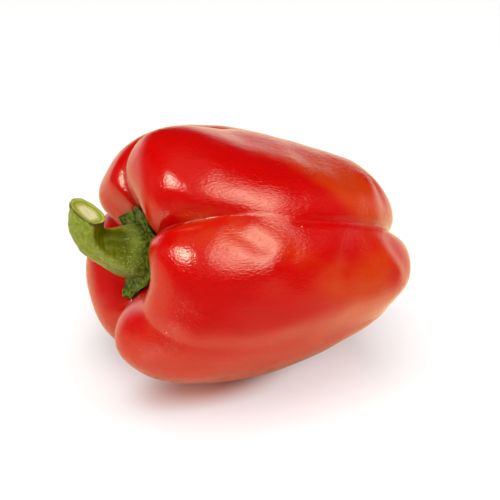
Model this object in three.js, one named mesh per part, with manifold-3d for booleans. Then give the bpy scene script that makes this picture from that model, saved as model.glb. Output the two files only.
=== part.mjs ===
// A ripe red bell pepper lying on its side, in millimetres, with +Z up.
// The fruit's axis lies close to X, with the stem end at -X raised a little, and the fruit rests on two lobes.
// The near side is -Y. The origin is under the middle of the whole pepper, on the surface that it rests on.

import * as THREE from 'three';
import { mergeVertices } from 'three/addons/utils/BufferGeometryUtils.js';
import Module from 'manifold-3d';

const { smoothstep, degToRad, radToDeg, euclideanModulo, lerp } = THREE.MathUtils;

// How the pepper lies: the axis rises by this many degrees towards the stem end, and the two lobes that
// carry it are pressed flat by this much.
const AXIS_TILT = 10;
const REST_FLAT = 0.4;

// Meridians of the fruit, from the floor of the pit under the stem, over the shoulder and down the flank, to
// the blossom end. Each pair is the distance out from the axis and the place along it, towards the stem.
// The crest meridian runs over the middle of a lobe, and the groove meridian along a full groove.
const CREST = [
  [0, 33], [5, 33], [10, 34], [15.5, 38], [22, 44.5], [31, 45.5], [39.5, 39], [44, 29.5], [45.5, 17],
  [45, 2.5], [43, -11], [39, -25.5], [35.5, -37], [31, -46.5], [22.5, -54.5], [10, -53], [0, -49],
];
const GROOVE = [
  [0, 33], [5, 33], [9, 33], [13, 34], [18, 36], [25, 35], [31.5, 30], [36, 22], [38.5, 11],
  [38.5, -1], [37, -13], [33, -25], [28, -36], [21, -44.5], [13, -49], [5, -49.5], [0, -49],
];

// Grooves, in order round the axis. Angles are in degrees from straight up towards the near side, at the
// shoulder and at the tip. A depth of 1 reaches the groove meridian, and softness rounds the groove's floor;
// both are given at the shoulder, at the waist and at the tip.
const GROOVES = [
  { angle: [46.5, 54.5], depth: [0.85, 0.15, 0.7], softness: [0.12, 0.25, 0.1] },
  { angle: [110, 113], depth: [0.1, 0, 0], softness: [0.4, 0.6, 0.6] },
  { angle: [167, 182], depth: [1, 0.9, 0.9], softness: [0.12, 0.35, 0.12] },
  { angle: [276, 272], depth: [0.8, 0.6, 0.9], softness: [0.12, 0.35, 0.12] },
  { angle: [331, 331.5], depth: [1, 0.6, 0.9], softness: [0.12, 0.35, 0.12] },
];

// Lobes, each between its groove and the next. Swell is the extra distance out from the axis at the shoulder,
// waist and tip; lift raises the shoulder towards the stem; reach carries the blossom end further out along
// the axis; a lean above 1 moves the crest towards the next groove.
const LOBES = [
  { swell: [1, 3.5, 5.5], lift: -1, reach: -0.5, lean: 1.2 },
  { swell: [0, -0.5, -2], lift: 4, reach: -4, lean: 1 },
  { swell: [3, -1, 0], lift: -0.5, reach: 0, lean: 1.5 },
  { swell: [-1.8, 3, 0], lift: -1.5, reach: 0, lean: 1 },
  { swell: [1.5, -5, 2], lift: -0.5, reach: -5.5, lean: 0.75 },
];

// Powers on the arch over a lobe, and on what it leaves: lower and higher make fuller lobes.
const LOBE_ROUNDNESS = 0.6;
const LOBE_FULLNESS = 1.5;
const SWELL_FOCUS = 1.5;

// Stretches of the meridian, as fractions of its length, over which one form passes into the next.
const SHOULDER_TO_WAIST = [0.35, 0.58];
const WAIST_TO_TIP = [0.62, 0.88];
const GROOVE_DRIFT = [0.15, 0.85];
const SWELL_RISE = [0.1, 0.35];
const SWELL_FALL = [0.88, 1];
const LIFT_RISE = [0.08, 0.25];
const LIFT_FALL = [0.3, 0.6];
const REACH_RISE = [0.6, 0.85];
const REACH_FALL = [0.9, 1];

// Calyx: a collar that follows the wall of the pit a little way off it, thicker at its root, where the stem's
// foot meets it this far out from the axis.
const CALYX_GAP = 0.6;
const CALYX_EDGE = 1.3;
const CALYX_ROOT = 3;
const CALYX_FOOT = 10.5;

// Corners of the calyx's rim, in order round the axis: angle in degrees, distance out from the axis, and how
// far the rim lifts off the wall there.
const CALYX_RIM = [
  [20, 13, 0], [45, 15, 0], [75, 12, 0], [110, 14, 0], [138, 13, 0], [152, 14.6, 0.2], [183, 16, 0.6],
  [198, 13.7, 0.3], [225, 12.3, 0], [268, 13.6, 0], [286, 12, 1], [303, 13.8, 3], [324, 13.3, 1.5],
  [348, 15.2, 0], [358, 15.4, 0],
];

// Stretches over which the calyx grows from its edge to its root, as a share of the way in from the rim, and
// lifts off the wall, where 1 is the rim's own place along the meridian.
const ROOT_RISE = [0.1, 1];
const LIFT_OFF_END = 1.05;

// A place on the pit's wall is found by halving the meridian this many times, from this far along it.
const PIT_WALL_END = 0.3;
const HALVINGS = 24;

// Stem: its centreline as a cubic curve from the floor of the pit to the middle of the cut, as distance along
// the axis and height over it; its radius at even steps along that curve; and the slant of the cut.
const STEM_LINE = [[33, 0], [47, 0.8], [57.5, 3], [56.7, 15.2]];
const STEM_RADIUS = [9.6, 9.4, 8.2, 6.3, 5.6, 5.4, 5.6, 6.2];
const STEM_START = 0.13;
const CUT_NORMAL = new THREE.Vector3(0.33, -0.24, 0.91).normalize();
const SLANT_FROM = 0.55;

// Ridges along the stem: the angle at its foot, the width in degrees, and the height as a share of the radius
// at even steps from the foot to the cut. A hollow is negative. They all turn back by the twist on the way.
const STEM_RIDGES = [
  { angle: 6, width: 24, heights: [0.04, -0.04, -0.08, 0.02] },
  { angle: 52, width: 24, heights: [0.08, 0.14, 0, 0] },
  { angle: 80, width: 38, heights: [0, -0.12, -0.3, -0.08] },
  { angle: 122, width: 13, heights: [0.08, 0.2, 0.24, 0.06] },
  { angle: 215, width: 24, heights: [0.08, 0.08, 0.08, 0.03] },
  { angle: 298, width: 24, heights: [0.06, 0.06, 0.06, 0.03] },
];
const STEM_TWIST = 28;

// Fineness of the grids.
const COLUMNS_PER_LOBE = 12;
const COLUMN_CROWDING = 0.35;
const FRUIT_ROWS = 40;
const CALYX_ROWS = 6;
const TOP_ROWS = 3;
const FILLET_ROWS = 2;
const STEM_ROWS = 14;

// A point of the uniform cubic B-spline through the middle of a list of rows of numbers. The phantom rows
// beyond its two ends are given by the caller.
function splineAt(rows, before, after, t) {
  const spans = rows.length - 1;
  const place = Math.min(Math.max(t, 0), 1) * spans;
  const i = Math.min(Math.floor(place), spans - 1);
  const f = place - i;
  const row = (k) => (k < 0 ? before : k > spans ? after : rows[k]);
  const weights = [(1 - f) ** 3, 3 * f ** 3 - 6 * f ** 2 + 4, -3 * f ** 3 + 3 * f ** 2 + 3 * f + 1, f ** 3];
  return rows[0].map((_, n) => weights.reduce((sum, w, k) => sum + w * row(i - 1 + k)[n], 0) / 6);
}

// A point of a meridian. Mirroring its second and last but one points over the axis lets it close smoothly.
function meridianAt(points, t) {
  const mirrored = ([out, along]) => [-out, along];
  return splineAt(points, mirrored(points[1]), mirrored(points[points.length - 2]), t);
}

const pass = (t, [from, to]) => smoothstep(t, from, to);

function alongFruit([shoulder, waist, tip], t) {
  const toWaist = pass(t, SHOULDER_TO_WAIST);
  const toTip = pass(t, WAIST_TO_TIP);
  return shoulder * (1 - toWaist) + waist * toWaist * (1 - toTip) + tip * toTip;
}

// The fruit's surface at t along the meridian and u across a lobe, both from 0 to 1: the distance out from the
// axis, the place along it towards the stem, and the angle about it in radians.
function fruitAt(t, lobe, u) {
  const before = GROOVES[lobe];
  const after = GROOVES[(lobe + 1) % GROOVES.length];
  const fullTurn = lobe === GROOVES.length - 1 ? 360 : 0;
  const drift = pass(t, GROOVE_DRIFT);
  const from = lerp(before.angle[0], before.angle[1], drift);
  const to = lerp(after.angle[0], after.angle[1], drift) + fullTurn;

  const across = smoothstep(u, 0, 1);
  const softness = lerp(alongFruit(before.softness, t), alongFruit(after.softness, t), across);
  const depth = lerp(alongFruit(before.depth, t), alongFruit(after.depth, t), across);
  const arch = (Math.hypot(Math.sin(Math.PI * u), softness) - softness) / (Math.hypot(1, softness) - softness);
  const crestShare = 1 - depth * (1 - arch ** LOBE_ROUNDNESS) ** LOBE_FULLNESS;

  const { swell, lift, reach, lean } = LOBES[lobe];
  const focus = Math.max(Math.sin(Math.PI * u ** lean), 0) ** SWELL_FOCUS;
  const swollen = alongFruit(swell, t) * pass(t, SWELL_RISE) * (1 - pass(t, SWELL_FALL));
  const lifted = lift * pass(t, LIFT_RISE) * (1 - pass(t, LIFT_FALL));
  const reached = reach * pass(t, REACH_RISE) * (1 - pass(t, REACH_FALL));

  const crest = meridianAt(CREST, t);
  const groove = meridianAt(GROOVE, t);
  return {
    out: lerp(groove[0], crest[0], crestShare) + focus * swollen,
    along: lerp(groove[1], crest[1], crestShare) + focus * (lifted - reached),
    angle: degToRad(lerp(from, to, u)),
  };
}

const aboutAxis = ({ out, along, angle }) =>
  new THREE.Vector3(-along, -out * Math.sin(angle), out * Math.cos(angle));

// The columns of every grid: the same places across each lobe, crowded towards the grooves.
const columns = LOBES.flatMap((_, lobe) =>
  Array.from({ length: COLUMNS_PER_LOBE }, (_, k) => {
    const even = k / COLUMNS_PER_LOBE;
    return { lobe, u: even - (COLUMN_CROWDING * Math.sin(2 * Math.PI * even)) / (2 * Math.PI) };
  }),
);

// A closed body from rings of points that all have one point per column, with a single point at each end. The
// rings run away from the stem's side, so that the faces point out.
function closedBody(startPoint, rings, endPoint) {
  const count = columns.length;
  const points = [startPoint, ...rings.flat(), endPoint];
  const last = points.length - 1;
  const at = (ring, column) => 1 + ring * count + (column % count);
  const faces = [];
  for (let column = 0; column < count; column++) {
    faces.push(0, at(0, column + 1), at(0, column));
    faces.push(last, at(rings.length - 1, column), at(rings.length - 1, column + 1));
    for (let ring = 0; ring + 1 < rings.length; ring++) {
      faces.push(at(ring, column), at(ring + 1, column + 1), at(ring + 1, column));
      faces.push(at(ring, column), at(ring, column + 1), at(ring + 1, column + 1));
    }
  }
  const body = new THREE.BufferGeometry().setFromPoints(points);
  body.setIndex(faces);
  return body;
}

function fruitBody() {
  const ring = (t) => columns.map(({ lobe, u }) => aboutAxis(fruitAt(t, lobe, u)));
  const rings = Array.from({ length: FRUIT_ROWS - 1 }, (_, k) => ring((k + 1) / FRUIT_ROWS));
  return closedBody(aboutAxis(fruitAt(0, 0, 0)), rings, aboutAxis(fruitAt(1, 0, 0)));
}

// The rim's distance out and its lift at an angle, on straight lines between its corners.
function rimAt(angle) {
  const first = CALYX_RIM[0];
  const last = CALYX_RIM[CALYX_RIM.length - 1];
  const corners = [[last[0] - 360, last[1], last[2]], ...CALYX_RIM, [first[0] + 360, first[1], first[2]]];
  const turn = euclideanModulo(radToDeg(angle), 360);
  const next = corners.findIndex(([corner]) => corner > turn);
  const [fromAngle, fromOut, fromLift] = corners[next - 1];
  const [toAngle, toOut, toLift] = corners[next];
  const share = (turn - fromAngle) / (toAngle - fromAngle);
  return { distance: lerp(fromOut, toOut, share), lift: lerp(fromLift, toLift, share) };
}

// Where a meridian first comes a given distance out from the axis, found by halving.
function placeAt(distance, lobe, u) {
  let low = 0;
  let high = PIT_WALL_END;
  for (let step = 0; step < HALVINGS; step++) {
    const middle = (low + high) / 2;
    if (fruitAt(middle, lobe, u).out < distance) low = middle;
    else high = middle;
  }
  return low;
}

// What the stem and calyx need to know of each column: its angle, and where its meridian meets the calyx's rim
// and the stem's foot.
function spokeAt({ lobe, u }) {
  const { angle } = fruitAt(0, lobe, u);
  const { distance, lift } = rimAt(angle);
  return { lobe, u, angle, lift, rim: placeAt(distance, lobe, u), foot: placeAt(CALYX_FOOT, lobe, u) };
}

// A point over the wall of the pit at a place along the meridian, lifting off it from the foot to the rim.
function overPit({ lobe, u, lift, rim, foot }, place, height) {
  const wall = fruitAt(place, lobe, u);
  const raised = lift * smoothstep(place, foot, rim * LIFT_OFF_END);
  return aboutAxis({ ...wall, along: wall.along + CALYX_GAP + raised + height });
}

const stemCurve = new THREE.CubicBezierCurve3(
  ...STEM_LINE.map(([along, height]) => new THREE.Vector3(-along, 0, height)),
);

function stemRadiusAt(v, angle) {
  const rows = STEM_RADIUS.map((radius) => [radius]);
  const [radius] = splineAt(rows, rows[0], rows[rows.length - 1], v);
  const relief = STEM_RIDGES.reduce((sum, ridge) => {
    const steps = ridge.heights.map((height) => [height]);
    const [height] = splineAt(steps, steps[0], steps[steps.length - 1], v);
    const apart = euclideanModulo(angle - ridge.angle + STEM_TWIST * v + 180, 360) - 180;
    return sum + height * Math.exp(-((apart / ridge.width) ** 2));
  }, 0);
  return radius * (1 + relief);
}

// A point on the stem's side, or inside it where the share is under 1. Rings lean over to the slant of the cut
// as they come near it.
function stemPoint(v, angle, share) {
  const centre = stemCurve.getPoint(v);
  const forward = stemCurve.getTangent(v);
  const near = new THREE.Vector3(0, -1, 0);
  const over = new THREE.Vector3().crossVectors(forward, near);
  const radius = share * stemRadiusAt(v, radToDeg(angle));
  const point = centre.clone();
  point.addScaledVector(over, radius * Math.cos(angle));
  point.addScaledVector(near, radius * Math.sin(angle));
  const rise = centre.clone().sub(point).dot(CUT_NORMAL) / forward.dot(CUT_NORMAL);
  return point.addScaledVector(forward, rise * smoothstep(v, SLANT_FROM, 1));
}

function stemBody() {
  const spokes = columns.map(spokeAt);
  const rings = [];
  for (let row = 1; row <= CALYX_ROWS; row++) {
    rings.push(spokes.map((spoke) => overPit(spoke, (spoke.rim * row) / CALYX_ROWS, 0)));
  }
  for (let row = 0; row < TOP_ROWS; row++) {
    const share = row / (TOP_ROWS - 1);
    const thickness = lerp(CALYX_EDGE, CALYX_ROOT, pass(share, ROOT_RISE));
    rings.push(spokes.map((spoke) => overPit(spoke, lerp(spoke.rim, spoke.foot, share), thickness)));
  }
  const root = rings[rings.length - 1];
  for (let row = 1; row <= FILLET_ROWS; row++) {
    const share = row / (FILLET_ROWS + 1);
    rings.push(spokes.map(({ angle }, k) => root[k].clone().lerp(stemPoint(STEM_START, angle, 1), share)));
  }
  for (let row = 0; row <= STEM_ROWS; row++) {
    const v = lerp(STEM_START, 1, row / STEM_ROWS);
    rings.push(spokes.map(({ angle }) => stemPoint(v, angle, 1)));
  }
  return closedBody(stemCurve.getPoint(1), rings.reverse(), overPit(spokes[0], 0, 0));
}

const wasm = await Module();
wasm.setup();

function toSolid(geometry) {
  const bare = new THREE.BufferGeometry();
  bare.setAttribute('position', geometry.getAttribute('position'));
  bare.setIndex(geometry.getIndex());
  const merged = mergeVertices(bare);
  return new wasm.Manifold(
    new wasm.Mesh({
      numProp: 3,
      vertProperties: Float32Array.from(merged.getAttribute('position').array),
      triVerts: Uint32Array.from(merged.getIndex().array),
    }),
  );
}

function fromSolid(solid) {
  const { vertProperties, triVerts } = solid.getMesh();
  const geometry = new THREE.BufferGeometry();
  geometry.setAttribute('position', new THREE.BufferAttribute(vertProperties, 3));
  geometry.setIndex(new THREE.BufferAttribute(triVerts, 1));
  return geometry;
}

// Everything below the surface, as a slab in the frame of the tilted axis.
const SLAB_SIDE = 200;
function slabBelow(axisFrame) {
  const slab = new THREE.BoxGeometry(SLAB_SIDE, SLAB_SIDE, SLAB_SIDE);
  slab.translate(0, 0, -SLAB_SIDE / 2);
  return slab.applyMatrix4(axisFrame.matrixWorld.clone().invert());
}

function mesh(name, geometry, material) {
  geometry.computeVertexNormals();
  const result = new THREE.Mesh(geometry, material);
  result.name = name;
  return result;
}

const skin = new THREE.MeshStandardMaterial({ color: 0xd01008, roughness: 0.22, metalness: 0 });
const green = new THREE.MeshStandardMaterial({ color: 0x5d7d1c, roughness: 0.6, metalness: 0 });

const fruit = mesh('fruit', fruitBody(), skin);
const stem = mesh('stem_calyx', stemBody(), green);

// The tilted axis carries both pieces. It is set so that the pepper's box is centred over the origin and the
// resting lobes reach just below the surface, where they are then cut flat.
const axisFrame = new THREE.Group();
axisFrame.rotation.y = degToRad(AXIS_TILT);
axisFrame.add(fruit, stem);
const extent = new THREE.Box3().setFromObject(axisFrame, true);
const middle = extent.getCenter(new THREE.Vector3());
axisFrame.position.set(-middle.x, -middle.y, -extent.min.z - REST_FLAT);
axisFrame.updateMatrixWorld();

const flattened = toSolid(fruit.geometry).subtract(toSolid(slabBelow(axisFrame)));
fruit.geometry = fromSolid(flattened);
fruit.geometry.computeVertexNormals();

const pepper = new THREE.Group();
pepper.add(axisFrame);

export default pepper;
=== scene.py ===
# A ripe red bell pepper lying on its side on a white surface, in metres, with +Z up.
# The glossy fruit and its green stem are surfaces worked out with numpy in millimetres, on grids that run
# round the fruit's axis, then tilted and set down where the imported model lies.

import math

import bpy
import numpy as np
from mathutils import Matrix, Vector


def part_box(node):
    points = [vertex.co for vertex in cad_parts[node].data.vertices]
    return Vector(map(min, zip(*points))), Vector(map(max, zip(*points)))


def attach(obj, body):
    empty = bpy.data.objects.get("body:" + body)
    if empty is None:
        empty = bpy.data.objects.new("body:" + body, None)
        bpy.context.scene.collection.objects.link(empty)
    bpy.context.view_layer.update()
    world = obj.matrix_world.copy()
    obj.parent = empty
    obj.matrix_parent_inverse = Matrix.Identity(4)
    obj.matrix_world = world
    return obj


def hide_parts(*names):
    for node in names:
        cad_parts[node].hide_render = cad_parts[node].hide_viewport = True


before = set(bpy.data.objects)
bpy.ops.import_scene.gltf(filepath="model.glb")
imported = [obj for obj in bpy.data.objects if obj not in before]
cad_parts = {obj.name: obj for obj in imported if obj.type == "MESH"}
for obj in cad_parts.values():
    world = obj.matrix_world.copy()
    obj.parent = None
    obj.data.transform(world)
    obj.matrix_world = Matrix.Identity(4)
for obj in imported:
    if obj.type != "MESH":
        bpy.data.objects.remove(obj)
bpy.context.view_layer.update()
millimetre = 0.001
print("frame loaded")

# How the pepper lies: the axis rises by the tilt towards the stem end, and the lobes that carry it are
# pressed flat.
lying = {"tilt": math.radians(10), "restFlat": 0.4}

fruit = {
    # Meridians from the floor of the pit, over the shoulder and down the flank, to the blossom end: distance
    # out from the axis and place along it, towards the stem.
    "crest": [
        (0, 33), (5, 33), (10, 34), (15.5, 38), (22, 44.5), (31, 45.5), (39.5, 39), (44, 29.5), (45.5, 17),
        (45, 2.5), (43, -11), (39, -25.5), (35.5, -37), (31, -46.5), (22.5, -54.5), (10, -53), (0, -49),
    ],
    "groove": [
        (0, 33), (5, 33), (9, 33), (13, 34), (18, 36), (25, 35), (31.5, 30), (36, 22), (38.5, 11),
        (38.5, -1), (37, -13), (33, -25), (28, -36), (21, -44.5), (13, -49), (5, -49.5), (0, -49),
    ],
    # Each groove, in order round the axis: angles in degrees from straight up towards the camera's side, at
    # the shoulder and the tip, then depth and softness at the shoulder, waist and tip.
    "grooveAngle": [(46.5, 54.5), (110, 113), (167, 182), (276, 272), (331, 331.5)],
    "grooveDepth": [(0.85, 0.15, 0.7), (0.1, 0, 0), (1, 0.9, 0.9), (0.8, 0.6, 0.9), (1, 0.6, 0.9)],
    "grooveSoftness": [
        (0.12, 0.25, 0.1), (0.4, 0.6, 0.6), (0.12, 0.35, 0.12), (0.12, 0.35, 0.12), (0.12, 0.35, 0.12),
    ],
    # Each lobe, between its groove and the next: extra distance out at the shoulder, waist and tip, how far
    # the shoulder lifts towards the stem, how far the tip reaches, and the power that leans these three
    # towards the next groove, or back where it is under 1.
    "swell": [(1, 3.5, 5.5), (0, -0.5, -2), (3, -1, 0), (-1.8, 3, 0), (1.5, -5, 2)],
    "lift": [-1, 4, -0.5, -1.5, -0.5],
    "reach": [-0.5, -4, 0, 0, -5.5],
    "lean": [1.2, 1, 1.5, 1, 0.75],
    # Powers on the arch over a lobe, and on what it leaves: lower and higher make fuller lobes. The focus is
    # the power on the arch that a lobe's swell, lift and reach follow.
    "roundness": 0.6,
    "fullness": 1.5,
    "focus": 1.5,
    # Stretches of the meridian over which one form passes into the next: 0 is the floor of the pit and 1 the
    # blossom end, with the points above at even steps between.
    "shoulderToWaist": (0.35, 0.58),
    "waistToTip": (0.62, 0.88),
    "grooveDrift": (0.15, 0.85),
    "swellRise": (0.1, 0.35),
    "swellFall": (0.88, 1),
    "liftRise": (0.08, 0.25),
    "liftFall": (0.3, 0.6),
    "reachRise": (0.6, 0.85),
    "reachFall": (0.9, 1),
    # Gentle dents that bend the reflections: wavelength and height in millimetres, and waves for each.
    "dents": [(34, 0.22), (19, 0.16), (11, 0.08)],
    "wavesPerDent": 5,
    "seed": 7,
    # Folds near the blossom end and on the waist: place along the meridian and angle where each starts and
    # ends, then its half-width and its height midway in millimetres. A furrow's height is negative.
    "folds": [
        (0.775, 14, 0.73, 56, 3, 0.25),
        (0.805, 14, 0.765, 52, 2.4, -0.32),
        (0.705, 57, 0.80, 83, 2.6, 0.4),
        (0.75, 60, 0.84, 88, 3, -0.38),
        (0.56, 54, 0.79, 54.5, 1.6, -0.85),
        (0.59, 41, 0.79, 41, 5.5, 0.8),
        (0.445, 53, 0.522, 67, 3.2, -0.72),
        (0.48, 52, 0.555, 68, 2.8, 0.38),
    ],
    # Orange places: place along the meridian, angle, and how far each reaches in millimetres.
    "orangeAt": [(0.655, 24, 13), (0.71, 40, 9), (0.72, 72, 12)],
    # The grid: columns across each lobe, how far they crowd towards its grooves, and rows.
    "columnsPerLobe": 60,
    "crowding": 0.35,
    "rows": 300,
}
lobeCount = len(fruit["lift"])


# Smooth step from 0 at low to 1 at high: x squared times (3 - 2x).
def easeBetween(value, low, high):
    x = np.clip((value - low) / (high - low), 0, 1)
    return x * x * (3 - 2 * x)


# Passes from a to b as the share goes from 0 to 1.
def mix(a, b, share):
    return a + (b - a) * share


# Uniform cubic B-spline through rows of numbers, with a phantom row before and after them: each point is the
# sum of four neighbouring rows weighted by the cubic blending polynomials.
def splineAt(rows, before, after, t):
    table = np.vstack([before, rows, after]).astype(float)
    place = np.clip(t, 0, 1) * (len(rows) - 1)
    i = np.minimum(place.astype(int), len(rows) - 2)
    f = (place - i)[..., None]
    weights = [(1 - f) ** 3, 3 * f**3 - 6 * f**2 + 4, -3 * f**3 + 3 * f**2 + 3 * f + 1, f**3]
    return sum(weight * table[i + k] for k, weight in enumerate(weights)) / 6


# A meridian closes smoothly on the axis, because its second and last but one points are mirrored over it.
def meridianAt(points, t):
    first, last = points[1], points[-2]
    return splineAt(points, (-first[0], first[1]), (-last[0], last[1]), t)


# Passes from the shoulder's value to the waist's and on to the tip's along the meridian.
def alongFruit(values, lobe, t):
    shoulder, waist, tip = np.moveaxis(np.array(values, float)[lobe], -1, 0)
    toWaist = easeBetween(t, *fruit["shoulderToWaist"])
    toTip = easeBetween(t, *fruit["waistToTip"])
    return shoulder * (1 - toWaist) + waist * toWaist * (1 - toTip) + tip * toTip


# Rises from 0 to 1 over a form's first stretch of the meridian, and falls back over its second.
def riseAndFall(t, form):
    return easeBetween(t, *fruit[form + "Rise"]) * (1 - easeBetween(t, *fruit[form + "Fall"]))


# The fruit at t along the meridian and u across a lobe: the groove meridian plus a share of its way to the
# crest meridian, which follows a rounded sine arch over the lobe, plus the lobe's own swell, lift and reach.
def fruitAt(t, lobe, u):
    after = (lobe + 1) % lobeCount
    drift = easeBetween(t, *fruit["grooveDrift"])
    angles = np.array(fruit["grooveAngle"], float)
    start = mix(angles[lobe, 0], angles[lobe, 1], drift)
    end = mix(angles[after, 0], angles[after, 1], drift) + 360 * (after == 0)

    across = easeBetween(u, 0, 1)
    softness, depth = [
        mix(alongFruit(fruit[form], lobe, t), alongFruit(fruit[form], after, t), across)
        for form in ("grooveSoftness", "grooveDepth")
    ]
    arch = (np.hypot(np.sin(np.pi * u), softness) - softness) / (np.hypot(1, softness) - softness)
    crestShare = 1 - depth * (1 - arch ** fruit["roundness"]) ** fruit["fullness"]

    lean = np.array(fruit["lean"])[lobe]
    focus = np.maximum(np.sin(np.pi * u**lean), 0) ** fruit["focus"]
    swollen = alongFruit(fruit["swell"], lobe, t) * riseAndFall(t, "swell")
    lifted = np.array(fruit["lift"])[lobe] * riseAndFall(t, "lift")
    reached = np.array(fruit["reach"])[lobe] * riseAndFall(t, "reach")

    crest = meridianAt(fruit["crest"], t)
    groove = meridianAt(fruit["groove"], t)
    out = mix(groove[..., 0], crest[..., 0], crestShare) + focus * swollen
    along = mix(groove[..., 1], crest[..., 1], crestShare) + focus * (lifted - reached)
    return out, along, np.radians(mix(start, end, u))


# Distance out, place along and angle about the axis become x, y and z in the axis's own frame.
def aboutAxis(out, along, angle):
    return np.stack([-along, -out * np.sin(angle), out * np.cos(angle)], -1)


# Columns at the same places across every lobe, crowded towards the grooves by a sine.
def lobeColumns(perLobe, crowding):
    even = np.tile(np.arange(perLobe) / perLobe, lobeCount)
    lobe = np.repeat(np.arange(lobeCount), perLobe)
    return lobe, even - crowding * np.sin(2 * np.pi * even) / (2 * np.pi)


# Turns the axis frame by the tilt about Y.
def tilted(points):
    cosine, sine = math.cos(lying["tilt"]), math.sin(lying["tilt"])
    x, y, z = points[..., 0], points[..., 1], points[..., 2]
    return np.stack([x * cosine + z * sine, y, z * cosine - x * sine], -1)


# A sum of sine waves in seeded random directions, one set for each wavelength.
def dentsAt(points, piece):
    generator = np.random.default_rng(piece["seed"])
    total = np.zeros(points.shape[:-1])
    for wavelength, height in piece["dents"]:
        for _ in range(piece["wavesPerDent"]):
            direction = generator.normal(size=3)
            direction *= 2 * np.pi / wavelength / np.linalg.norm(direction)
            phase = generator.uniform(0, 2 * np.pi)
            total += height / math.sqrt(piece["wavesPerDent"]) * np.sin(points @ direction + phase)
    return total


# Steps from a place on the unrolled fruit, in millimetres along the meridian and round the girth. The
# meridian's length is taken as the fruit's length and twice its greatest distance out.
def stepsFrom(place, turn, t, angle, out):
    crest = np.array(fruit["crest"])
    length = crest[0, 1] - crest[-1, 1] + 2 * crest[:, 0].max()
    turned = (np.degrees(angle) - turn + 180) % 360 - 180
    return (t - place) * length, np.radians(turned) * out


# Straight ridges and furrows: a bell curve of the distance from each fold's line, which fades out towards the
# line's ends by one minus the cube of the share of the way from its middle.
def foldsAt(t, angle, out):
    total = np.zeros(t.shape)
    for startPlace, startTurn, endPlace, endTurn, width, height in fruit["folds"]:
        along, across = stepsFrom(startPlace, startTurn, t, angle, out)
        alongEnd, acrossEnd = stepsFrom(startPlace, startTurn, endPlace, math.radians(endTurn), out)
        share = (along * alongEnd + across * acrossEnd) / (alongEnd**2 + acrossEnd**2)
        share = np.clip(share, 0, 1)
        apart = np.hypot(along - share * alongEnd, across - share * acrossEnd)
        total += height * (1 - np.abs(2 * share - 1) ** 3) * np.exp(-((apart / width) ** 2))
    return total


# How orange the skin is: the sum of a bell curve round each orange place.
def orangeness(t, angle, out):
    total = np.zeros(t.shape)
    for place, turn, reach in fruit["orangeAt"]:
        total += np.exp(-((np.hypot(*stepsFrom(place, turn, t, angle, out)) / reach) ** 2))
    return total


# Unit normals of a ring grid from the cross product of its two central differences.
def gridNormals(points):
    alongRows = np.gradient(points, axis=0)
    acrossColumns = np.roll(points, -1, 1) - np.roll(points, 1, 1)
    normals = np.cross(acrossColumns, alongRows)
    return normals / np.maximum(np.linalg.norm(normals, axis=-1, keepdims=True), 1e-9)


# A closed mesh from a grid of rings and one point at each end: quads between rings and a fan at each pole.
def closedMesh(name, startPoint, rings, endPoint, attributes):
    rowCount, columnCount = rings.shape[:2]
    points = np.vstack([[startPoint], rings.reshape(-1, 3), [endPoint]]) * millimetre
    index = 1 + np.arange(rowCount * columnCount).reshape(rowCount, columnCount)
    beside = np.roll(index, -1, 1)
    quads = np.stack([index[:-1], beside[:-1], beside[1:], index[1:]], -1).reshape(-1, 4)
    first = np.stack([np.zeros(columnCount, int), beside[0], index[0]], -1)
    last = np.stack([np.full(columnCount, len(points) - 1), index[-1], beside[-1]], -1)
    mesh = bpy.data.meshes.new(name)
    mesh.from_pydata(points.tolist(), [], first.tolist() + quads.tolist() + last.tolist())
    for label, (startValue, values, endValue) in attributes.items():
        flat = np.concatenate([[startValue], values.ravel(), [endValue]]).astype(np.float32)
        mesh.attributes.new(label, "FLOAT", "POINT").data.foreach_set("value", flat)
    mesh.shade_smooth()
    mesh.update()
    piece = bpy.data.objects.new(name, mesh)
    bpy.context.scene.collection.objects.link(piece)
    return piece


# The shift that sets a tilted shape down: centred on the node's box, with the lowest point just under the
# surface.
def settingDown(shape):
    low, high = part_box("fruit")
    centre = (np.array(low) + np.array(high)) / 2 / millimetre
    middle = (shape.min((0, 1)) + shape.max((0, 1))) / 2
    return np.array([centre[0] - middle[0], centre[1] - middle[1], -shape[..., 2].min() - lying["restFlat"]])


# The fruit's formula at every row and column, tilted, moved along its normals by the dents and folds, and set
# down. What falls under the surface is pressed flat on it.
def makeFruit():
    lobe, u = lobeColumns(fruit["columnsPerLobe"], fruit["crowding"])
    t = np.arange(1, fruit["rows"]) / fruit["rows"]
    grid = np.broadcast_arrays(t[:, None], lobe[None], u[None])
    out, along, angle = fruitAt(*grid)
    points = tilted(aboutAxis(out, along, angle))
    shift = settingDown(points)
    relief = dentsAt(points, fruit) + foldsAt(grid[0], angle, out)
    points = points + gridNormals(points) * relief[..., None] + shift
    points[..., 2] = np.maximum(points[..., 2], 0)
    ends = [tilted(np.array([-fruit["crest"][k][1], 0.0, 0.0])) + shift for k in (0, -1)]
    piece = closedMesh("pepperFruit", ends[0], points, ends[1], {
        "lengthwise": (0, grid[0], 1),
        "orange": (0, orangeness(grid[0], angle, out), 0),
    })
    return piece, shift


fruitPiece, shift = makeFruit()
print("fruit made", len(fruitPiece.data.polygons), "faces")

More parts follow.
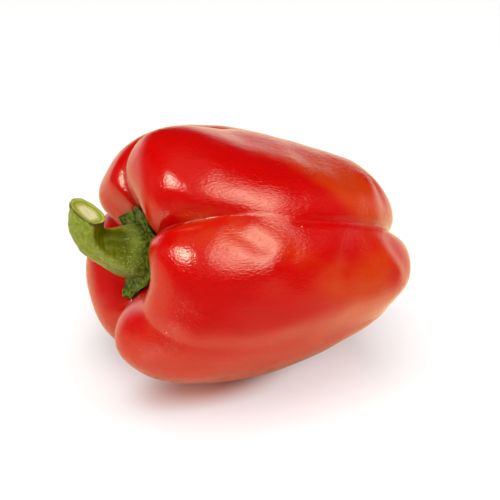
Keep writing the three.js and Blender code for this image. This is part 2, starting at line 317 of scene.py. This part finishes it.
stem = {
    # The calyx stands this far off the pit's wall, is this thick at its rim and its root, and meets the stem
    # this far out from the axis. Its rim bulges out by this share of its own place along the meridian.
    "gap": 0.6,
    "edge": 1.3,
    "root": 3,
    "footReach": 10.5,
    "edgeBulge": 0.03,
    # Corners of the calyx's rim: angle round the axis, distance from it, and how far it lifts off the wall.
    "rim": [
        (20, 13, 0), (45, 15, 0), (75, 12, 0), (110, 14, 0), (138, 13, 0), (152, 14.6, 0.2),
        (183, 16, 0.6), (198, 13.7, 0.3), (225, 12.3, 0), (268, 13.6, 0), (286, 12, 1), (303, 13.8, 3),
        (324, 13.3, 1.5), (348, 15.2, 0), (358, 15.4, 0),
    ],
    # Stretches over which the calyx thickens, as a share of the way in from the rim, and lifts off the wall,
    # where 1 is the rim's own place along the meridian.
    "rootRise": (0.1, 1),
    "liftOffEnd": 1.05,
    # A place on the pit's wall is found by halving the meridian this many times, from this far along it.
    "pitWallEnd": 0.3,
    "halvings": 24,
    # Centreline from the pit's floor to the cut, as distance along the axis and height over it, and the
    # radius at even steps. The stem shows from the start on, and its rings slant to the cut from further up.
    "line": [(33, 0), (47, 0.8), (57.5, 3), (56.7, 15.2)],
    "radius": [9.6, 9.4, 8.2, 6.3, 5.6, 5.4, 5.6, 6.2],
    "start": 0.13,
    "slantFrom": 0.55,
    "cutNormal": (0.33, -0.24, 0.91),
    # Ridges: angle at the foot, width in degrees, and height as a share of the radius at even steps from the
    # foot to the cut. A hollow is negative. They turn back by the twist on the way.
    "ridges": [
        (6, 24, (0.04, -0.04, -0.08, 0.02)),
        (52, 24, (0.08, 0.14, 0, 0)),
        (80, 38, (0, -0.12, -0.3, -0.08)),
        (122, 13, (0.08, 0.2, 0.24, 0.06)),
        (215, 24, (0.08, 0.08, 0.08, 0.03)),
        (298, 24, (0.06, 0.06, 0.06, 0.03)),
    ],
    "twist": 28,
    # The hollow's painted shade, a darker olive, runs back from its pale ridge: the ridge's angle at the
    # foot, the degrees over which the shade sets in and fades out, and the stretch of the stem over which it
    # begins, which lies further up by the slant for each degree.
    "hollowRidge": 119,
    "hollowFrom": (0, 13),
    "hollowTo": (96, 140),
    "hollowStart": (0.19, 0.3),
    "hollowSlant": 0.0008,
    # The face of the cut is hollowed by this much in its middle, and less outwards by this power of the
    # share of the radius.
    "cutHollow": 0.5,
    "cutPower": 4,
    # The share of the calyx's look that the stem has at its start, and the place along it where that ends.
    "calyxLook": 0.5,
    "calyxLookEnd": 0.3,
    "dents": [(7, 0.1), (3.2, 0.09), (1.7, 0.05)],
    "wavesPerDent": 6,
    "seed": 3,
    # The grid: its first ring in the pit as a share of the way to the rim, its first and last in the cut as
    # shares of the radius, and the rings in each stretch.
    "pitFrom": 0.08,
    "faceShares": (0.97, 0.06),
    "rings": {"under": 20, "edge": 5, "top": 20, "fillet": 6, "side": 110, "face": 26},
    "columnsPerLobe": 60,
}


# The centreline as a cubic Bezier curve, and its direction from the curve's first derivative.
def stemLine(v):
    a, b, c, d = [np.array([-along, 0.0, height]) for along, height in stem["line"]]
    v = np.asarray(v, float)[..., None]
    point = (1 - v) ** 3 * a + 3 * (1 - v) ** 2 * v * b + 3 * (1 - v) * v**2 * c + v**3 * d
    slope = 3 * (1 - v) ** 2 * (b - a) + 6 * (1 - v) * v * (c - b) + 3 * v**2 * (d - c)
    return point, slope / np.linalg.norm(slope, axis=-1, keepdims=True)


# Relief of the stem's side: a bell curve round each ridge's angle, times a B-spline of its heights along it.
def stemRelief(v, angle):
    relief = 0
    for ridgeAngle, width, heights in stem["ridges"]:
        rows = [[height] for height in heights]
        apart = (np.degrees(angle) - ridgeAngle + stem["twist"] * v + 180) % 360 - 180
        relief = relief + splineAt(rows, rows[0], rows[-1], v)[..., 0] * np.exp(-((apart / width) ** 2))
    return relief


# A point of the stem at a share of its radius, which is a B-spline along it times one plus the relief: out
# from the centreline in the plane across it, slid along it onto the slanting cut as the rings near the end.
def stemPoint(v, angle, share):
    v, angle, share = np.broadcast_arrays(v, angle, share)
    rows = [[radius] for radius in stem["radius"]]
    radius = splineAt(rows, rows[0], rows[-1], v) * (1 + stemRelief(v, angle))[..., None]
    centre, forward = stemLine(v)
    near = np.array([0.0, -1.0, 0.0])
    over = np.cross(forward, near)
    arm = share[..., None] * radius * (over * np.cos(angle)[..., None] + near * np.sin(angle)[..., None])
    normal = np.array(stem["cutNormal"])
    rise = -(arm @ normal) / (forward @ normal) * easeBetween(v, stem["slantFrom"], 1)
    return centre + arm + forward * rise[..., None]


# Where each meridian comes a given distance out from the axis within the pit, found by halving.
def placesAt(distance, lobe, u):
    low, high = np.zeros(len(u)), np.full(len(u), stem["pitWallEnd"])
    for _ in range(stem["halvings"]):
        middle = (low + high) / 2
        inside = fruitAt(middle, lobe, u)[0] < distance
        low, high = np.where(inside, middle, low), np.where(inside, high, middle)
    return low


# Even steps between two values, without the values themselves.
def stepsInside(low, high, count):
    return np.linspace(low, high, count + 2)[1:-1]


# What the green reads at each ring and column: the place along the stem, the share of the cut's radius, the
# ridges' relief, the hollow's painted shade, the turn back from its ridge, and how much of the calyx's look
# shows.
def stemLooks(angle, along, inward, collarRows, filletRows):
    stretch = np.concatenate([np.zeros(collarRows), along, np.ones(len(inward))])[:, None]
    cut = np.concatenate([np.ones(collarRows + len(along)), inward])[:, None]
    relief = stemRelief(stretch, angle) * (cut == 1)
    behind = (stem["hollowRidge"] - np.degrees(angle) - stem["twist"] * stretch) % 360
    hollow = easeBetween(behind, *stem["hollowFrom"]) * (1 - easeBetween(behind, *stem["hollowTo"]))
    hollow = hollow * easeBetween(stretch - stem["hollowSlant"] * behind, *stem["hollowStart"])
    collar = np.concatenate([
        np.ones(collarRows - filletRows),
        np.linspace(1, stem["calyxLook"], filletRows),
        stem["calyxLook"] * (1 - easeBetween(along, stem["start"], stem["calyxLookEnd"])),
        np.zeros(len(inward)),
    ])[:, None]
    looks = {
        "alongStem": (1, stretch, 0),
        "cutRadius": (0, cut, 1),
        "relief": (0, relief, 0),
        "hollow": (0, hollow, 0),
        "behindRidge": (0, behind / 360, 0),
        "collar": (0, collar, 1),
    }
    return {
        label: (cutValue, np.broadcast_to(values, behind.shape)[::-1], pitValue)
        for label, (cutValue, values, pitValue) in looks.items()
    }


# The stem and calyx as one closed grid of rings: under the collar from the pit's middle to the rim, round the
# rim, over the collar to the foot, up the stem's side, and in over the hollowed face of the cut.
def makeStem():
    rings = stem["rings"]
    lobe, u = lobeColumns(stem["columnsPerLobe"], fruit["crowding"])
    angle = fruitAt(np.zeros(len(u)), lobe, u)[2]
    corners, distances, lifts = np.transpose(stem["rim"])
    rim = placesAt(np.interp(np.degrees(angle), corners, distances, period=360), lobe, u)
    lift = np.interp(np.degrees(angle), corners, lifts, period=360)
    foot = placesAt(stem["footReach"], lobe, u)

    # A ring over the pit's wall at a place along the meridians, lifting off it from the foot to the rim.
    def overPit(place, height):
        out, along, turn = fruitAt(place, lobe, u)
        raised = lift * easeBetween(place, foot, rim * stem["liftOffEnd"])
        return aboutAxis(out, along + stem["gap"] + raised + height, turn)

    under = [overPit(share * rim, 0) for share in np.linspace(stem["pitFrom"], 1, rings["under"])]
    edge = [
        overPit(rim * (1 + stem["edgeBulge"] * math.sin(turn)), stem["edge"] * (1 - math.cos(turn)) / 2)
        for turn in stepsInside(0, math.pi, rings["edge"])
    ]
    top = [
        overPit(mix(rim, foot, share), mix(stem["edge"], stem["root"], easeBetween(share, *stem["rootRise"])))
        for share in np.linspace(0, 1, rings["top"])
    ]
    along = np.linspace(stem["start"], 1, rings["side"])
    side = [stemPoint(v, angle, 1) for v in along]
    fillet = [mix(top[-1], side[0], share) for share in stepsInside(0, 1, rings["fillet"])]
    cutCentre, cutForward = stemLine(1)
    inward = np.linspace(*stem["faceShares"], rings["face"])
    face = [
        stemPoint(1, angle, share) - cutForward * stem["cutHollow"] * (1 - share ** stem["cutPower"])
        for share in inward
    ]
    grid = np.stack(under + edge + top + fillet + side + face)
    grid = grid + gridNormals(grid) * dentsAt(grid, stem)[..., None]

    collarRows = len(under) + len(edge) + len(top) + len(fillet)
    looks = stemLooks(angle, along, inward, collarRows, len(fillet))
    cutMiddle = tilted(cutCentre - cutForward * stem["cutHollow"]) + shift
    pitMiddle = tilted(overPit(np.zeros(len(u)), 0)[0]) + shift
    return closedMesh("pepperStem", cutMiddle, (tilted(grid) + shift)[::-1], pitMiddle, looks)


stemPiece = makeStem()
print("stem made", len(stemPiece.data.polygons), "faces")


# Adds a node, gives it its settings, and puts a value or a link on each input given by name or number.
def addNode(tree, kind, inputs, **settings):
    made = tree.nodes.new(kind)
    for name, value in settings.items():
        setattr(made, name, value)
    for name, value in inputs.items():
        if isinstance(value, bpy.types.NodeSocket):
            tree.links.new(value, made.inputs[name])
        else:
            made.inputs[name].default_value = value
    return made


# Smooth step of a value between two limits; with the limits swapped it falls instead of rising.
def stepBetween(tree, value, low, high, toMin=0.0, toMax=1.0):
    swapped = low > high
    return addNode(tree, "ShaderNodeMapRange", {
        "Value": value,
        "From Min": min(low, high),
        "From Max": max(low, high),
        "To Min": toMax if swapped else toMin,
        "To Max": toMin if swapped else toMax,
    }, interpolation_type="SMOOTHSTEP").outputs["Result"]


# Colour a passing into colour b as the share goes from 0 to 1. The mix node has sockets of one name for
# numbers, vectors and colours, so those for colours are picked by their number.
def blend(tree, share, a, b):
    made = addNode(tree, "ShaderNodeMix", {}, data_type="RGBA")
    for index, value in ((0, share), (6, a), (7, b)):
        if isinstance(value, bpy.types.NodeSocket):
            tree.links.new(value, made.inputs[index])
        else:
            made.inputs[index].default_value = value
    return made.outputs[2]


# The result of a sum, a product or a comparison of two values, or of three where the operation takes three.
def combine(tree, operation, a, b, c=None):
    inputs = {0: a, 1: b} if c is None else {0: a, 1: b, 2: c}
    return addNode(tree, "ShaderNodeMath", inputs, operation=operation).outputs["Value"]


# A number that the piece's mesh carries at each point.
def attributeOf(tree, name):
    return addNode(tree, "ShaderNodeAttribute", {}, attribute_name=name).outputs["Fac"]


# An empty node group with its inputs, each with a first value, and its outputs.
def newGroup(name, inputs, outputs):
    group = bpy.data.node_groups.new(name, "ShaderNodeTree")
    for label, kind, value in inputs:
        socket = group.interface.new_socket(label, in_out="INPUT", socket_type=kind)
        socket.default_value = value
    for label, kind in outputs:
        group.interface.new_socket(label, in_out="OUTPUT", socket_type=kind)
    return group, group.nodes.new("NodeGroupInput"), group.nodes.new("NodeGroupOutput")


# Noise in the piece's own coordinates, turned to the fruit's axis and drawn out along it by the stretch.
def makeStreakGroup():
    group, given, result = newGroup("streaks", [
        ("Scale", "NodeSocketFloat", 300.0),
        ("Stretch", "NodeSocketFloat", 3.0),
        ("Detail", "NodeSocketFloat", 2.0),
    ], [("Value", "NodeSocketFloat")])
    place = addNode(group, "ShaderNodeTexCoord", {})
    turned = addNode(group, "ShaderNodeMapping", {
        "Vector": place.outputs["Object"],
        "Rotation": (0, -lying["tilt"], 0),
    })
    split = addNode(group, "ShaderNodeSeparateXYZ", {"Vector": turned.outputs["Vector"]})
    shortened = combine(group, "DIVIDE", split.outputs["X"], given.outputs["Stretch"])
    joined = addNode(group, "ShaderNodeCombineXYZ", {
        "X": shortened,
        "Y": split.outputs["Y"],
        "Z": split.outputs["Z"],
    })
    noise = addNode(group, "ShaderNodeTexNoise", {
        "Vector": joined.outputs["Vector"],
        "Scale": given.outputs["Scale"],
        "Detail": given.outputs["Detail"],
    })
    group.links.new(noise.outputs["Fac"], result.inputs["Value"])
    return group


# Small round spots at the cells of a Voronoi pattern, kept only where the cell's random number is low.
def makeSpotGroup():
    group, given, result = newGroup("spots", [
        ("Scale", "NodeSocketFloat", 300.0),
        ("Radius", "NodeSocketFloat", 0.1),
        ("Share", "NodeSocketFloat", 0.1),
    ], [("Mask", "NodeSocketFloat")])
    place = addNode(group, "ShaderNodeTexCoord", {})
    cells = addNode(group, "ShaderNodeTexVoronoi", {
        "Vector": place.outputs["Object"],
        "Scale": given.outputs["Scale"],
    })
    inside = combine(group, "LESS_THAN", cells.outputs["Distance"], given.outputs["Radius"])
    random = addNode(group, "ShaderNodeSeparateColor", {"Color": cells.outputs["Color"]})
    chosen = combine(group, "LESS_THAN", random.outputs["Red"], given.outputs["Share"])
    group.links.new(combine(group, "MULTIPLY", inside, chosen), result.inputs["Mask"])
    return group


streakGroup = makeStreakGroup()
spotGroup = makeSpotGroup()


# Streaks in a material, by their scale, how far they are drawn out along the fruit, and their detail.
def placeStreaks(tree, scale, stretch, detail):
    values = {"Scale": scale, "Stretch": stretch, "Detail": detail}
    return addNode(tree, "ShaderNodeGroup", values, node_tree=streakGroup).outputs["Value"]


# Spots in a material, by their scale, their radius and the share of cells that have one.
def placeSpots(tree, scale, radius, share):
    values = {"Scale": scale, "Radius": radius, "Share": share}
    return addNode(tree, "ShaderNodeGroup", values, node_tree=spotGroup).outputs["Mask"]


# A material, its nodes and its own shader.
def newMaterial(name):
    material = bpy.data.materials.new(name)
    material.use_nodes = True
    return material, material.node_tree, material.node_tree.nodes["Principled BSDF"]


# Bumps laid one over the other: each is a height value and how far it rises, in metres.
def layBumps(tree, bumps):
    normal = None
    for height, distance in bumps:
        inputs = {"Height": height, "Strength": 1.0, "Distance": distance}
        if normal is not None:
            inputs["Normal"] = normal
        normal = addNode(tree, "ShaderNodeBump", inputs).outputs["Normal"]
    return normal


skin = {
    "red": (0.445, 0.0005, 0.0003, 1),
    "deep": (0.42, 0.0003, 0.0003, 1),
    "orange": (0.47, 0.028, 0.001, 1),
    "speck": (0.80, 0.22, 0.10, 1),
    "roughness": 0.17,
    "refraction": 1.6,
    "reflectionTint": (0.7, 0.88, 0.65, 1),
    # How much of the light goes into the flesh, and how deep in metres.
    "softness": 0.08,
    "softnessDepth": 0.003,
    # Patterns: scale, stretch along the fruit and detail, or for the specks scale, radius and share.
    "patches": (30, 1.4, 3),
    "streaks": (420, 5, 3),
    "lumps": (170, 2, 2),
    "grain": (1600, 2.2, 2),
    "scratches": (2900, 4, 1),
    "specks": (260, 0.07, 0.05),
    # Heights of the relief in metres.
    "lumpHeight": 0.00016,
    "grainHeight": 0.00011,
    "scratchHeight": 0.00004,
    # What the orange places add to the patches, what the blossom end adds, over which stretch of the
    # fruit, and the sums at which the orange sets in and is full. The deep red goes by the streaks.
    "ripeAtPlaces": 0.22,
    "ripeAtTip": 0.08,
    "ripeStretch": (0.45, 0.85),
    "orangeFrom": (0.56, 0.78),
    "deepFrom": (0.42, 0.7),
}


# The skin: red, with orange patches at the orange places and more often towards the blossom end, faint deep
# streaks along the fruit, a few pale specks, and a gloss that fine lumps, grain and scratches break up.
def makeSkin():
    material, tree, shader = newMaterial("pepperSkin")
    lengthwise = attributeOf(tree, "lengthwise")
    atTip = stepBetween(tree, lengthwise, *skin["ripeStretch"], 0, skin["ripeAtTip"])
    ripening = combine(tree, "MULTIPLY_ADD", attributeOf(tree, "orange"), skin["ripeAtPlaces"], atTip)
    patches = combine(tree, "ADD", placeStreaks(tree, *skin["patches"]), ripening)
    orange = stepBetween(tree, patches, *skin["orangeFrom"])
    deep = stepBetween(tree, placeStreaks(tree, *skin["streaks"]), *skin["deepFrom"])
    specks = placeSpots(tree, *skin["specks"])
    colour = blend(tree, deep, skin["red"], skin["deep"])
    colour = blend(tree, orange, colour, skin["orange"])
    colour = blend(tree, specks, colour, skin["speck"])
    tree.links.new(colour, shader.inputs["Base Color"])

    normal = layBumps(tree, [
        (placeStreaks(tree, *skin["lumps"]), skin["lumpHeight"]),
        (placeStreaks(tree, *skin["grain"]), skin["grainHeight"]),
        (placeStreaks(tree, *skin["scratches"]), skin["scratchHeight"]),
    ])
    tree.links.new(normal, shader.inputs["Normal"])
    shader.inputs["Roughness"].default_value = skin["roughness"]
    shader.inputs["IOR"].default_value = skin["refraction"]
    shader.inputs["Specular Tint"].default_value = skin["reflectionTint"]
    shader.inputs["Subsurface Weight"].default_value = skin["softness"]
    shader.inputs["Subsurface Scale"].default_value = skin["softnessDepth"]
    return material


green = {
    "side": (0.15, 0.185, 0.014, 1),
    "sidePale": (0.215, 0.25, 0.04, 1),
    # Painted shade in the stem's hollow: a darker olive than the side, darker still further round from its
    # ridge.
    "hollowShadeNear": (0.085, 0.096, 0.0004, 1),
    "hollowShadeFar": (0.056, 0.066, 0.0003, 1),
    "ridge": (0.20, 0.23, 0.055, 1),
    "foot": (0.12, 0.155, 0.016, 1),
    "calyxDark": (0.022, 0.038, 0.0003, 1),
    "calyxPale": (0.12, 0.16, 0.006, 1),
    "cutRim": (0.32, 0.36, 0.05, 1),
    "cutRing": (0.20, 0.24, 0.03, 1),
    "pith": (0.58, 0.56, 0.29, 1),
    "bruise": (0.09, 0.06, 0.015, 1),
    # A painted highlight: pale spots on the foot stand in for the speckled glint of its rough bulge.
    "footGlint": (0.19, 0.245, 0.08, 1),
    "roughness": 0.38,
    "cutRoughness": 0.7,
    "specular": 0.16,
    "reflectionTint": (0.8, 0.9, 0.5, 1),
    # Patterns: scale, stretch along the fruit and detail, or for the foot's glints scale, radius and share.
    "mottle": (750, 1, 4),
    "fibres": (1100, 1.5, 3),
    "footGlints": (1900, 0.4, 0.35),
    # Heights of the relief in metres. Off the calyx the mottle's is only a share of it, and it grows full
    # over a stretch of the calyx's look.
    "mottleHeight": 0.0006,
    "fibreHeight": 0.00012,
    "offCalyx": 0.25,
    "roughCalyx": (0, 0.5),
    # Where each look sets in and is full, as a value of the pattern or the attribute that it goes by.
    "paleFibres": (0.42, 0.68),
    "paleMottle": (0.38, 0.66),
    "onRidge": (0.1, 0.17),
    "onFoot": (0.42, 0.24),
    "farHollow": (0.02, 0.2),
    "onCalyx": (0.1, 0.6),
    "glintsOnFoot": (0.42, 0.3),
    "glintsOffCalyx": (0.9, 0.2),
    "onCut": (0.999, 0.97),
    "cutRingFrom": (0.88, 0.8),
    "cutRingTo": (0.76, 0.7),
    "pithFrom": (0.66, 0.4),
    "bruiseAtEnd": (0.965, 0.985),
    "bruiseMottle": (0.3, 0.5),
}


# The green of the stem and calyx. The stem is pale and fibrous on its ridges and has painted shade in its
# hollow, a darker olive; pale spots on its foot paint the speckled highlight of the bulge, the calyx is dark
# and mottled, and the cut shows a rim, a darker ring and a pale pith.
def makeGreen():
    material, tree, shader = newMaterial("pepperGreen")
    alongStem = attributeOf(tree, "alongStem")
    cutRadius = attributeOf(tree, "cutRadius")
    relief = attributeOf(tree, "relief")
    hollow = attributeOf(tree, "hollow")
    behindRidge = attributeOf(tree, "behindRidge")
    collar = attributeOf(tree, "collar")

    mottle = placeStreaks(tree, *green["mottle"])
    fibres = placeStreaks(tree, *green["fibres"])
    footGlints = placeSpots(tree, *green["footGlints"])

    # How far a look has set in, by its name among the green's values.
    def shown(value, look):
        return stepBetween(tree, value, *green[look])

    side = blend(tree, shown(fibres, "paleFibres"), green["side"], green["sidePale"])
    side = blend(tree, shown(relief, "onRidge"), side, green["ridge"])
    side = blend(tree, shown(alongStem, "onFoot"), side, green["foot"])
    # Painted shade: the hollow is coloured a darker olive, darker still further round from its ridge.
    hollowShade = blend(tree, shown(behindRidge, "farHollow"), green["hollowShadeNear"], green["hollowShadeFar"])
    side = blend(tree, hollow, side, hollowShade)
    calyx = blend(tree, shown(mottle, "paleMottle"), green["calyxDark"], green["calyxPale"])
    body = blend(tree, shown(collar, "onCalyx"), side, calyx)
    # Pale spots on the foot: a painted highlight, the speckled glint of the rough bulge.
    glinting = combine(tree, "MULTIPLY", shown(alongStem, "glintsOnFoot"), shown(collar, "glintsOffCalyx"))
    body = blend(tree, combine(tree, "MULTIPLY", footGlints, glinting), body, green["footGlint"])
    bruised = combine(tree, "MULTIPLY", shown(alongStem, "bruiseAtEnd"), shown(mottle, "bruiseMottle"))
    body = blend(tree, bruised, body, green["bruise"])

    cut = blend(tree, shown(cutRadius, "cutRingFrom"), green["cutRim"], green["cutRing"])
    cut = blend(tree, shown(cutRadius, "cutRingTo"), cut, green["cutRim"])
    cut = blend(tree, shown(cutRadius, "pithFrom"), cut, green["pith"])
    onCut = shown(cutRadius, "onCut")
    tree.links.new(blend(tree, onCut, body, cut), shader.inputs["Base Color"])
    shader.inputs["Specular Tint"].default_value = green["reflectionTint"]
    shader.inputs["Specular IOR Level"].default_value = green["specular"]
    tree.links.new(
        addNode(tree, "ShaderNodeMapRange", {
            "Value": onCut, "To Min": green["roughness"], "To Max": green["cutRoughness"],
        }).outputs["Result"],
        shader.inputs["Roughness"],
    )
    lowered = stepBetween(tree, collar, *green["roughCalyx"], green["offCalyx"], 1)
    rough = combine(tree, "MULTIPLY", mottle, lowered)
    normal = layBumps(tree, [(rough, green["mottleHeight"]), (fibres, green["fibreHeight"])])
    tree.links.new(normal, shader.inputs["Normal"])
    return material


fruitPiece.data.materials.append(makeSkin())
stemPiece.data.materials.append(makeGreen())
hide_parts("fruit")
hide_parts("stem_calyx")
for piece in (fruitPiece, stemPiece):
    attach(piece, "root")
print("materials made")

studio = {
    "floorSize": 6.0,
    # The floor's colour as the camera sees it, as it throws light back on the pepper, and as the skin
    # mirrors it.
    "floorColour": (0.57, 0.57, 0.565, 1),
    "floorBounced": (0.97, 0.97, 0.96, 1),
    "floorMirrored": (0.90, 0.75, 0.46, 1),
    "floorRoughness": 0.2,
    "floorSpecular": 0.5,
    # The skin mirrors the floor only near the pepper: towards the front it fades out over this distance.
    "mirrorFrom": 0.035,
    "mirrorTo": 0.08,
    # Painted shadow and red bounce light: the floor's colour turns a darker warm red in an ellipse about the
    # place where the pepper rests.
    "paintedWarmShadow": (0.66, 0.37, 0.29, 1),
    "warmPlace": (-0.015, -0.012, 0),
    "warmReach": (0.026, 0.014, 1),
    "warmInner": 0.3,
    "warmOuter": 1.3,
    # Light from the white room, which the lamps don't give: it softens the shadow, but not where it is warm.
    "roomLight": 0.36,
    # On the right the mirrored floor glows more, from and to these distances out.
    "glowAzimuth": 95,
    "glowFrom": 0.02,
    "glowTo": 0.06,
    "glow": 0.5,
    # Bright places that the skin mirrors: three low ones on the horizon, then a small spot and two broad ones
    # above. Each has its azimuth, elevation and strength, then the cosines of the angles from there where it
    # is full and where it ends. Between them the room is dark, and the camera sees white.
    "brightPlaces": [
        (100, -10, 1.1, 0.97, 0.84), (-163, -6, 1.5, 0.975, 0.88), (146, -9, 1.3, 0.985, 0.95),
        (-68, 43.5, 27, 0.9987, 0.975), (16, 43, 4.6, 0.985, 0.905), (44, 50, 3.4, 0.985, 0.91),
    ],
    "wallDark": 0.02,
    "seenLight": 1.1,
    "lampAim": (0, 0, 0.04),
}


# Unit vector by azimuth from -Y towards +X and elevation, in degrees.
def towards(azimuth, elevation):
    a, e = math.radians(azimuth), math.radians(elevation)
    return Vector((math.sin(a) * math.cos(e), -math.cos(a) * math.cos(e), math.sin(e)))


# Turns a lamp or the camera to look at a point.
def aimAt(thing, target):
    thing.rotation_euler = (target - thing.location).to_track_quat("-Z", "Y").to_euler()


# How far a point or a direction reaches towards an azimuth and elevation: its dot product with their unit
# vector.
def reachTowards(tree, vector, azimuth, elevation):
    inputs = {0: vector, 1: towards(azimuth, elevation)}
    return addNode(tree, "ShaderNodeVectorMath", inputs, operation="DOT_PRODUCT").outputs["Value"]


# A warm ellipse of painted shadow on the floor: the distance from its middle, divided each way by its reach,
# falls from 1 to 0.
def warmth(tree, place):
    inputs = {0: place, 1: studio["warmPlace"]}
    beside = addNode(tree, "ShaderNodeVectorMath", inputs, operation="SUBTRACT").outputs["Vector"]
    inputs = {0: beside, 1: studio["warmReach"]}
    scaled = addNode(tree, "ShaderNodeVectorMath", inputs, operation="DIVIDE").outputs["Vector"]
    apart = addNode(tree, "ShaderNodeVectorMath", {0: scaled}, operation="LENGTH").outputs["Value"]
    return stepBetween(tree, apart, studio["warmOuter"], studio["warmInner"])


# A white floor with a faint gloss. The camera sees a painted warm shadow where the pepper rests. What the
# skin mirrors of it grows dark towards the front and glows on one side. To all else it only throws light
# back.
def makeFloor():
    half = studio["floorSize"] / 2
    corners = [(-half, -half, 0), (half, -half, 0), (half, half, 0), (-half, half, 0)]
    mesh = bpy.data.meshes.new("floor")
    mesh.from_pydata(corners, [], [(0, 1, 2, 3)])
    floor = bpy.data.objects.new("floor", mesh)
    bpy.context.scene.collection.objects.link(floor)
    material, tree, shader = newMaterial("floorWhite")
    place = addNode(tree, "ShaderNodeTexCoord", {}).outputs["Object"]
    path = addNode(tree, "ShaderNodeLightPath", {})
    byCamera = path.outputs["Is Camera Ray"]
    byGloss = path.outputs["Is Glossy Ray"]

    warm = warmth(tree, place)
    # Painted shadow and red bounce light where the pepper rests.
    seen = blend(tree, warm, studio["floorColour"], studio["paintedWarmShadow"])
    seen = blend(tree, byCamera, studio["floorBounced"], seen)
    faded = stepBetween(tree, reachTowards(tree, place, 0, 0), studio["mirrorFrom"], studio["mirrorTo"])
    mirrored = blend(tree, faded, studio["floorMirrored"], (0, 0, 0, 1))
    tree.links.new(blend(tree, byGloss, seen, mirrored), shader.inputs["Base Color"])

    aside = reachTowards(tree, place, studio["glowAzimuth"], 0)
    glow = stepBetween(tree, aside, studio["glowFrom"], studio["glowTo"], 0, studio["glow"])
    glow = combine(tree, "MULTIPLY", glow, byGloss)
    roomLit = combine(tree, "MULTIPLY_ADD", warm, -studio["roomLight"], studio["roomLight"])
    roomLit = combine(tree, "MULTIPLY", roomLit, byCamera)
    tree.links.new(combine(tree, "ADD", glow, roomLit), shader.inputs["Emission Strength"])
    tint = blend(tree, byCamera, studio["floorMirrored"], studio["floorBounced"])
    tree.links.new(tint, shader.inputs["Emission Color"])
    shader.inputs["Specular IOR Level"].default_value = studio["floorSpecular"]
    shader.inputs["Roughness"].default_value = studio["floorRoughness"]
    floor.data.materials.append(material)


# Broad lamps, placed by azimuth, elevation and distance, that only light the pepper and the floor: the gloss
# doesn't show them.
lamps = {
    "overhead": {"azimuth": 0, "elevation": 88, "distance": 4.0, "size": (4, 4), "power": 180},
    "front": {"azimuth": -20, "elevation": 32, "distance": 4.0, "size": (3, 3), "power": 143},
    "left": {"azimuth": -115, "elevation": 18, "distance": 4.0, "size": (3, 2), "power": 90},
    "right": {"azimuth": 85, "elevation": 18, "distance": 4.0, "size": (3, 2), "power": 60},
}


# One area lamp for each of them, aimed at the middle of the pepper.
def makeLamps():
    middle = Vector(studio["lampAim"])
    for name, lamp in lamps.items():
        light = bpy.data.lights.new(name, "AREA")
        light.shape = "RECTANGLE"
        light.size, light.size_y = lamp["size"]
        light.energy = lamp["power"]
        thing = bpy.data.objects.new(name, light)
        thing.visible_glossy = False
        thing.location = middle + lamp["distance"] * towards(lamp["azimuth"], lamp["elevation"])
        aimAt(thing, middle)
        bpy.context.scene.collection.objects.link(thing)


# White for the camera. The gloss shows a dark room with bright places, which don't light what is matt.
def makeWorld():
    world = bpy.data.worlds.new("studio")
    bpy.context.scene.world = world
    world.use_nodes = True
    world.cycles_visibility.diffuse = False
    tree = world.node_tree
    place = addNode(tree, "ShaderNodeTexCoord", {})
    path = addNode(tree, "ShaderNodeLightPath", {})
    wall = studio["wallDark"]
    for azimuth, elevation, bright, full, end in studio["brightPlaces"]:
        facing = reachTowards(tree, place.outputs["Generated"], azimuth, elevation)
        wall = combine(tree, "ADD", wall, stepBetween(tree, facing, end, full, 0, bright))
    strength = addNode(tree, "ShaderNodeMix", {
        "Factor": path.outputs["Is Camera Ray"], "A": wall, "B": studio["seenLight"],
    })
    tree.links.new(strength.outputs["Result"], tree.nodes["Background"].inputs["Strength"])
    tree.nodes["Background"].inputs["Color"].default_value = (1, 1, 1, 1)


# Where the camera stands, its lens, and how far beside the middle of the fruit's box and how high it aims.
camera = {
    "azimuth": -25,
    "elevation": 27,
    "distance": 0.48,
    "lens": 100,
    "aimBeside": (0.0027, 0.0021),
    "aimHeight": 0.0396,
}


# The camera stands its distance away from a point beside the middle of the fruit's box, and looks at it.
def makeCamera():
    data = bpy.data.cameras.new("camera")
    data.lens = camera["lens"]
    low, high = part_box("fruit")
    aim = Vector((
        (low[0] + high[0]) / 2 + camera["aimBeside"][0],
        (low[1] + high[1]) / 2 + camera["aimBeside"][1],
        camera["aimHeight"],
    ))
    thing = bpy.data.objects.new("camera", data)
    thing.location = aim + camera["distance"] * towards(camera["azimuth"], camera["elevation"])
    aimAt(thing, aim)
    bpy.context.scene.collection.objects.link(thing)
    bpy.context.scene.camera = thing


makeFloor()
makeLamps()
makeWorld()
makeCamera()
bpy.context.scene.view_settings.view_transform = "Standard"
print("studio made")
